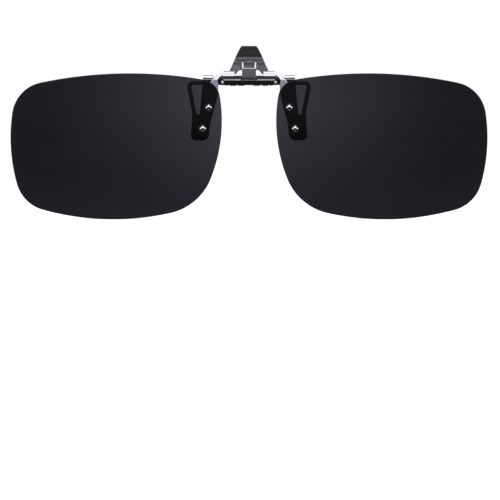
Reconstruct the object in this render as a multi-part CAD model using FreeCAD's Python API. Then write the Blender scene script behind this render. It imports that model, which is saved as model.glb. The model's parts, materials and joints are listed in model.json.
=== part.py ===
"""Clip on sunglasses: two rimless lenses that flip up on a spring clamp.

Millimetres. +X is the wearer's left, -Y is forward, +Z is up. The model is drawn about the middle of the
hinge bar, then moved so that its origin is the grip point: on the centre plane, where the front and rear
pads meet, halfway up the pads. Paired pieces are drawn on the +X side and mirrored.
"""
import FreeCAD, Part
import math
import os

Vector = FreeCAD.Vector
X_AXIS = Vector(1, 0, 0)
Y_AXIS = Vector(0, 1, 0)
CENTRE = Vector(0, 0, 0)
FAR = 20.0                         # reaches past the whole object
EPS = 1e-6

# ---- lenses ----
LENS_THICK = 1.1
LENS_RADIUS = 140.0                # radius of the spherical back face
LENS_APEX = (16.0, -10.5)          # x, z of the most forward point of the back face
LENS_BACK_Y = -2.5                 # y of the back face there
# each side of the outline is a long arc: its outermost point (x, z) and its radius
LENS_TOP = (33.8, 2.05, 125.0)
LENS_OUTER = (67.6, -16.2, 48.5)
LENS_BOTTOM = (38.6, -39.15, 76.0)
LENS_INNER = (7.65, -11.4, 43.6)
LENS_CORNERS = (10.2, 10.5, 16.0, 5.8)     # top outer, bottom outer, bottom inner, top inner

# ---- hinge axes (y, z) ----
JAW_Y, JAW_Z = 1.15, -0.4
FLIP_Y, FLIP_Z = -0.42, 1.45
RUN = 0.03                         # radial running clearance in both hinges

# ---- base plate: bar, wings, pin lugs and front claws in one stamping ----
PLATE_FRONT, PLATE_BACK = -0.9, -0.2
PLATE_BOTTOM, PLATE_TOP = -1.2, 0.8
PLATE_HALF = 8.3                   # half length of the full-height part
WING_HALF, WING_TOP = 12.95, 0.36
LUG_X = (5.9, 6.6)
LUG_R = 1.0
PIN_R = 0.5
PIN_HALF = 6.9
PIN_CHAMFER = 0.12
CLAW_WIDTH = 2.9
CLAW_TOP = (11.6, -0.6)            # x, z of the claw's centre line at the bar
CLAW_END = (13.45, -15.9)
CLAW_TAPER = 0.3
CLAW_STEP = 1.45                   # how far the claw is joggled back
CLAW_STEP_Z = (-2.0, -4.6)
CLAW_BEND = 0.25

# ---- bright barrels on the base plate: hinge knuckles and rolled wing tips ----
KNUCKLE_X = (4.15, 7.2)
KNUCKLE_R = 0.62
KNUCKLE_TOP = 2.7
ROD_R = 0.45
SEAM_Z = (2.0, 2.14)
SEAM_DEPTH = 0.1
ROLL_X = (9.95, 12.95)
ROLL_R = 0.57
ROLL_Y, ROLL_Z = -0.55, 0.93

# ---- black bar cover, its tab and rivets ----
COVER_FRONT = -2.0
COVER_HALF, COVER_R = 8.8, 1.3
COVER_ROUND = 0.5
LEDGE_FRONT = -1.6                 # face of the band above the ledge
LEDGE_Z = (0.05, 0.42)             # bottom and top of the ledge's slope
LEDGE_HALF = 7.2
RELIEF_FRONT = -1.08               # hollow behind the cover, under the bridge rod
RELIEF_DROP = 0.05                 # how far the hollow reaches below the plate's top
RIVET_X, RIVET_Z = 7.5, -0.5
RIVET_SHANK_R, RIVET_HEAD = 0.28, (0.42, 0.2)
TAB_FRONT, TAB_BACK = -1.85, -1.05
TAB_TOP, TAB_CORNER = 3.4, 0.25
TAB_NECK, TAB_FOOT = 1.96, 2.4     # half widths
TAB_FLARE = ((1.96, 1.9), (2.05, 1.35), (2.4, 0.8))
TONGUE_HALF, TONGUE_THICK, TONGUE_BOTTOM = 1.7, 0.3, -0.9
LEAF_HALF, LEAF_THICK, LEAF_TOP = 1.5, 0.15, 2.2

# ---- rear jaw ----
LEVER_TILT = 8.0                   # degrees the lever leans back
LEVER_FRONT, LEVER_BACK = 0.55, 1.25      # plate faces, from the jaw axis
LEVER_KNUCKLE_R = 1.25
LEVER_KNUCKLE_X = (1.3, 3.1)
LEVER_KNUCKLE_LOW = -1.45          # flat underside of the knuckles
LEVER_TOP = 10.0
LEVER_SIDE = ((5.1, 3.77), (2.45, 10.0))  # half width and z at two heights of the sloping sides
SIDE_END = 3.9
CORE_TOP, CORE_LOW, CORE_INSET = 9.4, 7.0, 0.9     # the narrower part inside the cap
LOBE = (4.3, 3.0)                  # x, z of a lobe's centre
LOBE_R = 1.08
LOBE_OUTER, LOBE_INNER = (0.75, -0.8), (-0.95, -0.5)      # x, z from a lobe's centre
LOBE_BULGE = 0.1                   # the lobe is widest this far above its centre
HAUNCH = (2.75, 3.1)               # x, z on the curve between a lobe and the stem
STEM_HALF, STEM_TOP, STEM_LOW = 1.85, 3.15, 1.2
WEB_SHOULDER, WEB_LOW = 0.75, -0.7
RIBS = ((6.1, 6.75, 0.12), (5.0, 5.4, 0.2))        # z low, z high, inset from the sides
RIB_HEIGHT, RIB_ROUND = 0.28, 0.12
DASHES = ((1.0, 3.4, 5.62, 5.86), (2.5, 4.2, 4.62, 4.84))   # x from, x to, z low, z high
DASH_DEPTH = 0.3
SLOT_OUTER = ((2.0, 5.4), (1.85, 3.5))    # half width and z at the slot's top and bottom
SLOT_INNER = ((1.7, 5.9), (1.56, 3.78))
HOLLOW = (1.42, 4.3, 4.86)         # half width, z low, z high of the tongue's dished part
CAP_BOTTOM = 6.95
CAP_WALL = 0.45
CAP_CHAMFER, CAP_ROUND = 0.8, 0.22
CAP_TOP_HALF, CAP_SHOULDER_HALF = 2.1, 2.66
WIRE_R = 0.6
WIRE_INNER_X, WIRE_CORNER_X = 0.5, 17.1
WIRE_Y, WIRE_Z = 2.9, -0.6
WIRE_KNEE = (15.5, 3.25, -9.0)     # x, y, z
WIRE_PAD_X = ((14.8, -11.4), (14.55, -15.9))       # x, z where it enters the pad and where it ends
WIRE_BENDS = (1.15, 2.5, 2.5)

# ---- torsion springs ----
SPRING_X = (3.55, 5.55)
SPRING_WIRE = 0.45
SPRING_R = 1.12
SPRING_GAP = 0.02
SPRING_FRONT_Z = (-0.7, 0.65)
SPRING_REAR_FOOT = (0.55, 0.7)     # y, z from the jaw axis
SPRING_REAR_DRIFT, SPRING_REAR_TOP, SPRING_REAR_GAP = 0.45, 2.9, 0.12

# ---- pads ----
PAD_TOP, PAD_BOTTOM = -9.65, -16.95
FRONT_PAD_HALF = (2.1, 1.15)       # half width and half depth
REAR_PAD_HALF = (1.55, 1.3)
FRONT_PAD_LEAN, REAR_PAD_LEAN = -6.0, -3.0         # degrees about Y
REAR_PAD_X = 14.8
PAD_ROUND = 0.72                   # corner radius as a share of the smaller half size
PAD_GAP = 0.06                     # between the closed pads
FRONT_PAD_Y = 0.5 * (PLATE_FRONT + PLATE_BACK) + CLAW_STEP
REAR_PAD_Y = FRONT_PAD_Y + FRONT_PAD_HALF[1] + PAD_GAP + REAR_PAD_HALF[1]
GRIP_Y = FRONT_PAD_Y + FRONT_PAD_HALF[1] + PAD_GAP / 2
GRIP_Z = 0.5 * (PAD_TOP + PAD_BOTTOM)

# ---- lens arms and bridge ----
ARM_FRONT, ARM_BACK = -2.0, -1.3
ARM_WIDTH = 3.2
ARM_KNEE, ARM_END, ARM_NOSE = 1.6, 1.2, 0.9        # above the upper rivet, below the lower one, end round
SPLICE_INNER, SPLICE_OUTER = (8.66, -3.3), (11.7, -2.6)     # x, z where arm and arch meet
ARM_ROUND = 0.28                   # round along the outer front edge of arm and arch
LENS_RIVETS = ((11.35, -7.65), (13.0, -13.6))      # x, z
RIVET_HOLE_R = 0.7
LENS_RIVET_SHANK_R = 0.66
LENS_RIVET_HEAD = (1.15, 0.6)      # radius, height
LENS_RIVET_TAIL = (0.95, 0.28)
RIVET_SINK = 0.02
WASHER_R, WASHER_THICK = 1.2, 0.24
ROD_HALF = 8.0
ARCH_X = COVER_HALF - COVER_R      # x of the arch's centre
ARCH_INNER_R = 1.4
ARCH_TOP = 1.78
ARCH_OUTER = ((9.8, 0.92), (10.98, -0.75))         # x, z on the outer curve and at its end
ARCH_INNER_LOW = (8.62, -1.4)      # x, z where the inner edge turns down
STEP_X = (7.35, 8.35)


def box(x0, x1, y0, y1, z0, z1):
    return Part.makeBox(x1 - x0, y1 - y0, z1 - z0, Vector(x0, y0, z0))


def rod_x(x0, x1, y, z, radius):
    return Part.makeCylinder(radius, x1 - x0, Vector(x0, y, z), X_AXIS)


def rod_y(x, z, y0, y1, radius):
    return Part.makeCylinder(radius, y1 - y0, Vector(x, y0, z), Y_AXIS)


def mirrored(shape):
    return shape.mirror(CENTRE, X_AXIS)


def line(a, b):
    return Part.LineSegment(a, b).toShape()


def arc(a, b, c):
    return Part.Arc(a, b, c).toShape()


def at(x, z):
    """A point of the drawing plane."""
    return Vector(x, 0, z)


def plate(edges, y0, y1):
    """A flat plate from edges drawn in the XZ plane, between two y planes."""
    face = Part.Face(Part.Wire(Part.__sortEdges__(edges)))
    face.translate(Vector(0, y0, 0))
    return face.extrude(Vector(0, y1 - y0, 0))


def chain(points):
    """Closed run of straight edges."""
    return [line(a, b) for a, b in zip(points, points[1:] + points[:1])]


def polygon(points, y0, y1):
    return plate(chain([at(x, z) for x, z in points]), y0, y1)


def profile_x(points, x0, x1):
    """A bar along X from a closed (y, z) profile."""
    face = Part.Face(Part.Wire(chain([Vector(x0, y, z) for y, z in points])))
    return face.extrude(Vector(x1 - x0, 0, 0))


def trapezoid(high, low, y0, y1):
    """A plate symmetric about x = 0, from (half width, z) at its top and at its bottom."""
    corners = [(-high[0], high[1]), high, low, (-low[0], low[1])]
    return polygon(corners, y0, y1)


def dome(x, y, z, size, direction):
    """A domed head whose flat side is at y, rising towards direction (-1 forward, 1 back)."""
    radius, height = size
    ball_r = (radius ** 2 + height ** 2) / (2 * height)
    ball = Part.makeSphere(ball_r, Vector(x, y + direction * (height - ball_r), z))
    start = y if direction > 0 else y - height
    return ball.common(rod_y(x, z, start, start + height, radius))


# ------------------------------------------------------------------ lenses

def circle_crossing(centre_a, radius_a, centre_b, radius_b, near):
    """The crossing of two circles that is nearest to a point."""
    gap = centre_b - centre_a
    along = (radius_a ** 2 - radius_b ** 2 + gap.Length ** 2) / (2 * gap.Length)
    across = math.sqrt(max(radius_a ** 2 - along ** 2, 0.0))
    unit = Vector(gap).normalize()
    side = Vector(-unit.z, 0, unit.x)
    choices = [centre_a + unit * along + side * across, centre_a + unit * along - side * across]
    return min(choices, key=lambda point: (point - near).Length)


def lens_outline():
    """Four long arcs joined by four tangent corner arcs, in the XZ plane."""
    sides = [
        (at(LENS_TOP[0], LENS_TOP[1] - LENS_TOP[2]), LENS_TOP[2]),
        (at(LENS_OUTER[0] - LENS_OUTER[2], LENS_OUTER[1]), LENS_OUTER[2]),
        (at(LENS_BOTTOM[0], LENS_BOTTOM[1] + LENS_BOTTOM[2]), LENS_BOTTOM[2]),
        (at(LENS_INNER[0] + LENS_INNER[2], LENS_INNER[1]), LENS_INNER[2]),
    ]
    corners = [
        at(LENS_OUTER[0], LENS_TOP[1]),
        at(LENS_OUTER[0], LENS_BOTTOM[1]),
        at(LENS_INNER[0], LENS_BOTTOM[1]),
        at(LENS_INNER[0], LENS_TOP[1]),
    ]
    joints = []
    edges = []
    for index, radius in enumerate(LENS_CORNERS):
        centre_a, radius_a = sides[index]
        centre_b, radius_b = sides[(index + 1) % 4]
        centre = circle_crossing(centre_a, radius_a - radius, centre_b, radius_b - radius, corners[index])
        start = centre_a + (centre - centre_a).normalize() * radius_a
        end = centre_b + (centre - centre_b).normalize() * radius_b
        middle = centre + ((start + end) * 0.5 - centre).normalize() * radius
        edges.append(arc(start, middle, end))
        joints.append((start, end))
    for index, (centre, radius) in enumerate(sides):
        start = joints[index - 1][1]
        end = joints[index][0]
        middle = centre + ((start + end) * 0.5 - centre).normalize() * radius
        edges.append(arc(start, middle, end))
    return edges


def lens():
    """A slice of a spherical shell cut to the outline, with two rivet holes."""
    blank = plate(lens_outline(), -FAR, 2 * FAR)
    middle = Vector(LENS_APEX[0], LENS_BACK_Y + LENS_RADIUS, LENS_APEX[1])
    outer = Part.makeSphere(LENS_RADIUS + LENS_THICK, middle)
    inner = Part.makeSphere(LENS_RADIUS, middle)
    body = blank.common(outer).cut(inner)
    front = min(body.Solids, key=lambda solid: solid.BoundBox.YMin)
    for x, z in LENS_RIVETS:
        front = front.cut(rod_y(x, z, -FAR, FAR, RIVET_HOLE_R))
    return front


# ------------------------------------------------------------------ flip-up lens frame

def middle(edge):
    """The middle of an edge, seen in the XZ plane."""
    point = edge.valueAt(0.5 * (edge.FirstParameter + edge.LastParameter))
    return Vector(point.x, 0, point.z)


def soften(strip, drawn):
    """Round the front edges of a strip that follow the drawn ones."""
    rim = []
    for edge in strip.Edges:
        in_front = edge.BoundBox.YMax < ARM_FRONT + EPS
        if in_front and any((middle(edge) - middle(path)).Length < EPS for path in drawn):
            rim.append(edge)
    return strip.makeFillet(ARM_ROUND, rim)


def bridge_rod():
    """The rod in the knuckles, with an arch at each end that comes forward to the arm."""
    rod = rod_x(-ROD_HALF, ROD_HALF, FLIP_Y, FLIP_Z, ROD_R)
    turn = math.radians(45)
    inner_top = at(ARCH_X, ARCH_INNER_R)
    inner_middle = at(ARCH_X + ARCH_INNER_R * math.cos(turn), ARCH_INNER_R * math.sin(turn))
    inner_end = at(ARCH_X + ARCH_INNER_R, 0)
    outer_top = at(ARCH_X, ARCH_TOP)
    outer_middle, outer_end = [at(x, z) for x, z in ARCH_OUTER]
    inner = [
        arc(inner_top, inner_middle, inner_end),
        line(inner_end, at(*ARCH_INNER_LOW)),
        line(at(*ARCH_INNER_LOW), at(*SPLICE_INNER)),
        line(at(*SPLICE_INNER), at(*SPLICE_OUTER)),
    ]
    outer = [
        line(at(*SPLICE_OUTER), outer_end),
        arc(outer_end, outer_middle, outer_top),
    ]
    arch = plate([*inner, *outer, line(outer_top, inner_top)], ARM_FRONT, ARM_BACK)
    arch = soften(arch, outer)
    side = arch.fuse(box(STEP_X[0], STEP_X[1], ARM_FRONT, FLIP_Y, ARCH_INNER_R, ARCH_TOP))
    return rod.fuse([side, mirrored(side)]).removeSplitter()


def lens_arm():
    """A flat strip down the back of the lens, with a round end below the lower rivet."""
    upper, lower = [at(x, z) for x, z in LENS_RIVETS]
    along = (lower - upper).normalize()
    outward = Vector(-along.z, 0, along.x) * (ARM_WIDTH / 2)
    knee = upper - along * ARM_KNEE
    end = lower + along * ARM_END
    outer = [
        arc(end - outward, end + along * ARM_NOSE, end + outward),
        line(end + outward, knee + outward),
        line(knee + outward, at(*SPLICE_OUTER)),
    ]
    inner = [
        line(at(*SPLICE_OUTER), at(*SPLICE_INNER)),
        line(at(*SPLICE_INNER), knee - outward),
        line(knee - outward, end - outward),
    ]
    arm = soften(plate(inner + outer, ARM_FRONT, ARM_BACK), outer)
    for x, z in LENS_RIVETS:
        arm = arm.cut(rod_y(x, z, -FAR, FAR, RIVET_HOLE_R))
    return arm


def lens_front_y(x, z):
    """y of the lens's front face at a point of the outline plane."""
    radius = LENS_RADIUS + LENS_THICK
    off = (x - LENS_APEX[0]) ** 2 + (z - LENS_APEX[1]) ** 2
    return LENS_BACK_Y + LENS_RADIUS - math.sqrt(radius ** 2 - off)


def lens_rivets():
    """Two rivets: a domed head in front, a shank and a low domed end behind the arm."""
    solids = []
    for x, z in LENS_RIVETS:
        seat = lens_front_y(x + LENS_RIVET_HEAD[0], z) - RIVET_SINK
        head = dome(x, seat, z, LENS_RIVET_HEAD, -1)
        back = ARM_BACK + RIVET_SINK
        tail = dome(x, back, z, LENS_RIVET_TAIL, 1)
        solids.append(head.fuse([rod_y(x, z, seat, back, LENS_RIVET_SHANK_R), tail]).removeSplitter())
    return Part.makeCompound(solids)


def lens_washers():
    """Thin washers between the lens's back and the arm."""
    solids = []
    for x, z in LENS_RIVETS:
        disc = rod_y(x, z, ARM_FRONT - WASHER_THICK, ARM_FRONT, WASHER_R)
        solids.append(disc.cut(rod_y(x, z, -FAR, FAR, RIVET_HOLE_R)))
    return Part.makeCompound(solids)


# ------------------------------------------------------------------ clamp base

def claw_x(z):
    """x of the front claw's centre line at a height."""
    share = (z - CLAW_TOP[1]) / (CLAW_END[1] - CLAW_TOP[1])
    return CLAW_TOP[0] + share * (CLAW_END[0] - CLAW_TOP[0])


def front_claw():
    """A flat strip that leaves the bar, steps back, and goes down into its pad."""
    half = CLAW_WIDTH / 2
    root, end = CLAW_TOP[1], CLAW_END[1]
    outline = polygon(
        [
            (claw_x(root) - half, root),
            (claw_x(root) + half, root),
            (claw_x(end) + half - CLAW_TAPER, end),
            (claw_x(end) - half + CLAW_TAPER, end),
        ],
        -FAR, FAR,
    )
    z_high, z_low = CLAW_STEP_Z
    profile = [
        (PLATE_FRONT, 0.0),
        (PLATE_FRONT, z_high - CLAW_BEND),
        (PLATE_FRONT + CLAW_STEP, z_low),
        (PLATE_FRONT + CLAW_STEP, -FAR),
        (PLATE_BACK + CLAW_STEP, -FAR),
        (PLATE_BACK + CLAW_STEP, z_low + CLAW_BEND),
        (PLATE_BACK, z_high),
        (PLATE_BACK, 0.0),
    ]
    return profile_x(profile, 0.0, FAR).common(outline)


def base_plate():
    """The stamping: a bar with lower wings, a lug each side for the jaw pin, and the front claws."""
    bar = box(-PLATE_HALF, PLATE_HALF, PLATE_FRONT, PLATE_BACK, PLATE_BOTTOM, PLATE_TOP)
    wings = box(-WING_HALF, WING_HALF, PLATE_FRONT, PLATE_BACK, PLATE_BOTTOM, WING_TOP)
    lug = box(LUG_X[0], LUG_X[1], PLATE_BACK, JAW_Y, JAW_Z - LUG_R, JAW_Z + LUG_R)
    lug = lug.fuse(rod_x(LUG_X[0], LUG_X[1], JAW_Y, JAW_Z, LUG_R))
    side = lug.fuse(front_claw())
    solid = bar.fuse([wings, side, mirrored(side)])
    solid = solid.cut(rod_x(-FAR, FAR, JAW_Y, JAW_Z, PIN_R))
    for x in (-RIVET_X, RIVET_X):
        solid = solid.cut(rod_y(x, RIVET_Z, -FAR, FAR, RIVET_SHANK_R + EPS))
    return solid.cut(bridge_bore()).removeSplitter()


def bridge_bore():
    """Room for the bridge rod to turn."""
    return rod_x(-FAR, FAR, FLIP_Y, FLIP_Z, ROD_R + RUN)


def hinge_barrels():
    """The two knuckles that carry the bridge rod, and a rolled bead on each wing."""
    loop_z = KNUCKLE_TOP - KNUCKLE_R
    front, back = FLIP_Y - KNUCKLE_R, FLIP_Y + KNUCKLE_R
    x0, x1 = KNUCKLE_X
    knuckle = rod_x(x0, x1, FLIP_Y, loop_z, KNUCKLE_R)
    knuckle = knuckle.fuse(box(x0, x1, front, back, PLATE_TOP, loop_z))
    knuckle = knuckle.cut(box(x0, x1, front, front + SEAM_DEPTH, SEAM_Z[0], SEAM_Z[1]))
    knuckle = knuckle.cut(bridge_bore())
    bead = rod_x(ROLL_X[0], ROLL_X[1], ROLL_Y, ROLL_Z, ROLL_R)
    bead = bead.fuse(box(ROLL_X[0], ROLL_X[1], PLATE_FRONT, PLATE_BACK, WING_TOP, ROLL_Z))
    pieces = [knuckle.removeSplitter(), bead.removeSplitter()]
    return Part.makeCompound(pieces + [mirrored(piece) for piece in pieces])


def front_tab():
    """The upright neck, flared at its foot, with a tongue that lies behind the cover."""
    top_half = TAB_NECK - TAB_CORNER
    sagitta = TAB_CORNER * (1 - math.sqrt(0.5))
    corner = at(TAB_NECK - sagitta, TAB_TOP - sagitta)
    flare = [at(x, z) for x, z in TAB_FLARE]
    right = [
        arc(at(top_half, TAB_TOP), corner, at(TAB_NECK, TAB_TOP - TAB_CORNER)),
        line(at(TAB_NECK, TAB_TOP - TAB_CORNER), flare[0]),
        arc(*flare),
    ]
    edges = right + [mirrored(edge) for edge in right]
    edges.append(line(at(top_half, TAB_TOP), at(-top_half, TAB_TOP)))
    edges.append(line(at(TAB_FOOT, PLATE_TOP), at(-TAB_FOOT, PLATE_TOP)))
    face = plate(edges, TAB_FRONT, TAB_BACK)
    tongue = box(-TONGUE_HALF, TONGUE_HALF, TAB_BACK - TONGUE_THICK, TAB_BACK, TONGUE_BOTTOM, FLIP_Z)
    return face.fuse(tongue).removeSplitter()


def friction_leaf():
    """A thin spring strip between the tab and the bridge rod."""
    return box(-LEAF_HALF, LEAF_HALF, TAB_BACK, TAB_BACK + LEAF_THICK, TONGUE_BOTTOM, LEAF_TOP)


def bar_cover():
    """A bar with round ends: a ledge runs along its front, with a lower band above it."""
    flat = COVER_HALF - COVER_R
    solid = box(-flat, flat, COVER_FRONT, PLATE_FRONT, -COVER_R, COVER_R)
    ends = [rod_y(x, 0, COVER_FRONT, PLATE_FRONT, COVER_R) for x in (-flat, flat)]
    solid = solid.fuse(ends).removeSplitter()
    front_edges = [edge for edge in solid.Edges if edge.BoundBox.YMax < COVER_FRONT + EPS]
    solid = solid.makeFillet(COVER_ROUND, front_edges)
    ledge = [
        (COVER_FRONT - 1, LEDGE_Z[0]),
        (COVER_FRONT, LEDGE_Z[0]),
        (LEDGE_FRONT, LEDGE_Z[1]),
        (LEDGE_FRONT, 2 * COVER_R),
        (COVER_FRONT - 1, 2 * COVER_R),
    ]
    solid = solid.cut(profile_x(ledge, -LEDGE_HALF, LEDGE_HALF))
    solid = solid.cut(box(-FAR, FAR, RELIEF_FRONT, 0.0, PLATE_TOP - RELIEF_DROP, 2 * COVER_R))
    solid = solid.cut([front_tab(), friction_leaf()])
    for x in (-RIVET_X, RIVET_X):
        solid = solid.cut(rod_y(x, RIVET_Z, -FAR, FAR, RIVET_SHANK_R + EPS))
    return max(solid.Solids, key=lambda piece: piece.Volume)


def cover_rivets():
    """Two small round rivets through the cover and the base plate."""
    solids = []
    for x in (-RIVET_X, RIVET_X):
        head = dome(x, COVER_FRONT, RIVET_Z, RIVET_HEAD, -1)
        tail = dome(x, PLATE_BACK, RIVET_Z, RIVET_HEAD, 1)
        shank = rod_y(x, RIVET_Z, COVER_FRONT, PLATE_BACK, RIVET_SHANK_R)
        solids.append(head.fuse([shank, tail]).removeSplitter())
    return Part.makeCompound(solids)


def jaw_pin():
    pin = rod_x(-PIN_HALF, PIN_HALF, JAW_Y, JAW_Z, PIN_R)
    rims = [edge for edge in pin.Edges if edge.BoundBox.XLength < EPS]
    return pin.makeChamfer(PIN_CHAMFER, rims)


def torsion_spring():
    """The coil's outer shape, with a leg against the base plate and a leg against the lever."""
    x0, x1 = SPRING_X
    half_wire = SPRING_WIRE / 2
    coil = rod_x(x0, x1, JAW_Y, JAW_Z, SPRING_R)
    low, high = SPRING_FRONT_Z
    front_foot = Vector(x1 - half_wire, PLATE_BACK + half_wire + SPRING_GAP, low)
    front_leg = Part.makeCylinder(half_wire, high - low, front_foot)
    foot = Vector(x0 + half_wire, JAW_Y + SPRING_REAR_FOOT[0], JAW_Z + SPRING_REAR_FOOT[1])
    lean = math.tan(math.radians(LEVER_TILT))
    plate_y = JAW_Y + LEVER_FRONT + (SPRING_REAR_TOP - JAW_Z) * lean
    head = Vector(foot.x + SPRING_REAR_DRIFT, plate_y - half_wire - SPRING_REAR_GAP, SPRING_REAR_TOP)
    rear_leg = Part.makeCylinder(half_wire, (head - foot).Length, foot, head - foot)
    bore = rod_x(x0 - 1, x1 + 1, JAW_Y, JAW_Z, SPRING_R - SPRING_WIRE)
    return coil.fuse([front_leg, rear_leg]).cut(bore).removeSplitter()


# ------------------------------------------------------------------ rear jaw

def lean_back(shape):
    """Turn an upright lever piece about the jaw axis to its rest lean."""
    turned = shape.copy()
    turned.rotate(Vector(0, JAW_Y, JAW_Z), X_AXIS, -LEVER_TILT)
    return turned


def side_x(z):
    """Half width of the lever's sloping sides at a height."""
    (low_half, low_z), (high_half, high_z) = LEVER_SIDE
    return low_half + (z - low_z) / (high_z - low_z) * (high_half - low_half)


def lever_plate():
    """The lever's flat plate: a core inside the cap, sloping sides, two round lobes, a stem and a web."""
    lobe_x, lobe_z = LOBE
    outer = at(*LOBE) + at(*LOBE_OUTER)
    inner = at(*LOBE) + at(*LOBE_INNER)
    side_end = at(side_x(SIDE_END), SIDE_END)
    web_x = LEVER_KNUCKLE_X[1]
    straight = [
        at(0, CORE_TOP),
        at(side_x(CORE_TOP) - CORE_INSET, CORE_TOP),
        at(side_x(CORE_LOW) - CORE_INSET, CORE_LOW),
        at(side_x(CORE_LOW), CORE_LOW),
        side_end,
    ]
    stem = [
        at(STEM_HALF, STEM_TOP),
        at(STEM_HALF, STEM_LOW),
        at(web_x, WEB_SHOULDER),
        at(web_x, WEB_LOW),
        at(0, WEB_LOW),
    ]
    half = [line(a, b) for a, b in zip(straight, straight[1:])]
    half.append(arc(side_end, at(lobe_x + LOBE_R, lobe_z + LOBE_BULGE), outer))
    half.append(arc(outer, at(lobe_x, lobe_z - LOBE_R), inner))
    half.append(arc(inner, at(*HAUNCH), stem[0]))
    half += [line(a, b) for a, b in zip(stem, stem[1:])]
    return plate(half + [mirrored(edge) for edge in half], JAW_Y + LEVER_FRONT, JAW_Y + LEVER_BACK)


def release_lever():
    """The lever: ribs and grooves across its front, a tongue in a U-shaped slot, two knuckles below."""
    front = JAW_Y + LEVER_FRONT
    body = lever_plate()
    for z_low, z_high, inset in RIBS:
        reach = side_x(z_high) - inset
        rib = box(-reach, reach, front - RIB_HEIGHT, front, z_low, z_high)
        crown = [edge for edge in rib.Edges if edge.BoundBox.YMax < front - RIB_HEIGHT + EPS]
        body = body.fuse(rib.makeFillet(RIB_ROUND, crown))
    for x0, x1, z_low, z_high in DASHES:
        groove = box(x0, x1, front, front + DASH_DEPTH, z_low, z_high)
        body = body.cut([groove, mirrored(groove)])
    half, z_low, z_high = HOLLOW
    body = body.cut(box(-half, half, front, front + DASH_DEPTH, z_low, z_high))
    slot = trapezoid(*SLOT_OUTER, -FAR, FAR).cut(trapezoid(*SLOT_INNER, -2 * FAR, 2 * FAR))
    body = body.cut(slot)
    x0, x1 = LEVER_KNUCKLE_X
    barrel = rod_x(x0, x1, JAW_Y, JAW_Z, LEVER_KNUCKLE_R)
    body = body.fuse([barrel, mirrored(barrel)])
    body = body.cut(rod_x(-FAR, FAR, JAW_Y, JAW_Z, PIN_R + RUN))
    body = lean_back(body.removeSplitter())
    wire = rear_claw()
    underside = box(-FAR, FAR, -FAR, FAR, -FAR, LEVER_KNUCKLE_LOW)
    return body.cut([wire, mirrored(wire), underside])


def lever_cap():
    """A moulded cap over the top of the lever, with a pocket for the plate."""
    shoulder = LEVER_TOP - CAP_CHAMFER
    right = [(side_x(CAP_BOTTOM), CAP_BOTTOM), (CAP_SHOULDER_HALF, shoulder), (CAP_TOP_HALF, LEVER_TOP)]
    outline = right + [(-x, z) for x, z in reversed(right)]
    cap = polygon(outline, JAW_Y + LEVER_FRONT - CAP_WALL, JAW_Y + LEVER_BACK + CAP_WALL)
    cap = cap.makeFillet(CAP_ROUND, [edge for edge in cap.Edges if edge.BoundBox.YLength < EPS])
    return lean_back(cap.cut(lever_plate()))


def rear_claw():
    """A bent wire: out along the bar, round a corner, down and inwards into its pad."""
    route = [Vector(WIRE_INNER_X, WIRE_Y, WIRE_Z), Vector(WIRE_CORNER_X, WIRE_Y, WIRE_Z), Vector(*WIRE_KNEE)]
    route += [Vector(x, REAR_PAD_Y, z) for x, z in WIRE_PAD_X]
    edges = []
    start = route[0]
    for index, radius in enumerate(WIRE_BENDS, start=1):
        into = (route[index] - route[index - 1]).normalize()
        out = (route[index + 1] - route[index]).normalize()
        turn = into.getAngle(out)
        reach = radius * math.tan(turn / 2)
        first = route[index] - into * reach
        last = route[index] + out * reach
        inward = (out - into).normalize()
        middle = route[index] + inward * (radius / math.cos(turn / 2) - radius)
        edges.append(line(start, first))
        edges.append(arc(first, middle, last))
        start = last
    edges.append(line(start, route[-1]))
    ring = Part.Wire([Part.Circle(route[0], route[1] - route[0], WIRE_R).toShape()])
    return Part.Wire(edges).makePipeShell([ring], True, True)


def rounded_pad(x, y, half, lean):
    """A sleeve with an oval section and a rounded lower end; lean turns it about Y."""
    half_x, half_y = half
    block = box(x - half_x, x + half_x, y - half_y, y + half_y, PAD_BOTTOM, PAD_TOP)
    upright = [edge for edge in block.Edges if edge.BoundBox.ZLength > PAD_TOP - PAD_BOTTOM - EPS]
    block = block.makeFillet(min(half) * PAD_ROUND, upright)
    nose_z = PAD_BOTTOM + half_x
    nose = rod_y(x, nose_z, y - half_y, y + half_y, half_x)
    shaft = box(x - half_x, x + half_x, y - half_y, y + half_y, nose_z, PAD_TOP)
    block = block.common(nose.fuse(shaft))
    block.rotate(Vector(x, y, GRIP_Z), Y_AXIS, lean)
    return block


def front_pad():
    return rounded_pad(claw_x(GRIP_Z), FRONT_PAD_Y, FRONT_PAD_HALF, FRONT_PAD_LEAN).cut(front_claw())


def rear_pad():
    return rounded_pad(REAR_PAD_X, REAR_PAD_Y, REAR_PAD_HALF, REAR_PAD_LEAN).cut(rear_claw())


# ------------------------------------------------------------------ output

def save(name, shape):
    placed = shape.copy()
    placed.translate(Vector(0, -GRIP_Y, -GRIP_Z))
    placed.exportStep("parts/" + name + ".step")
    size = placed.BoundBox
    print(
        f"{name:22s} solids {len(placed.Solids)} valid {placed.isValid()} volume {placed.Volume:8.2f} "
        f"size {size.XLength:6.2f} {size.YLength:6.2f} {size.ZLength:6.2f}"
    )


def save_pair(name, shape):
    save(name + "_left", shape)
    save(name + "_right", mirrored(shape))


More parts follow.
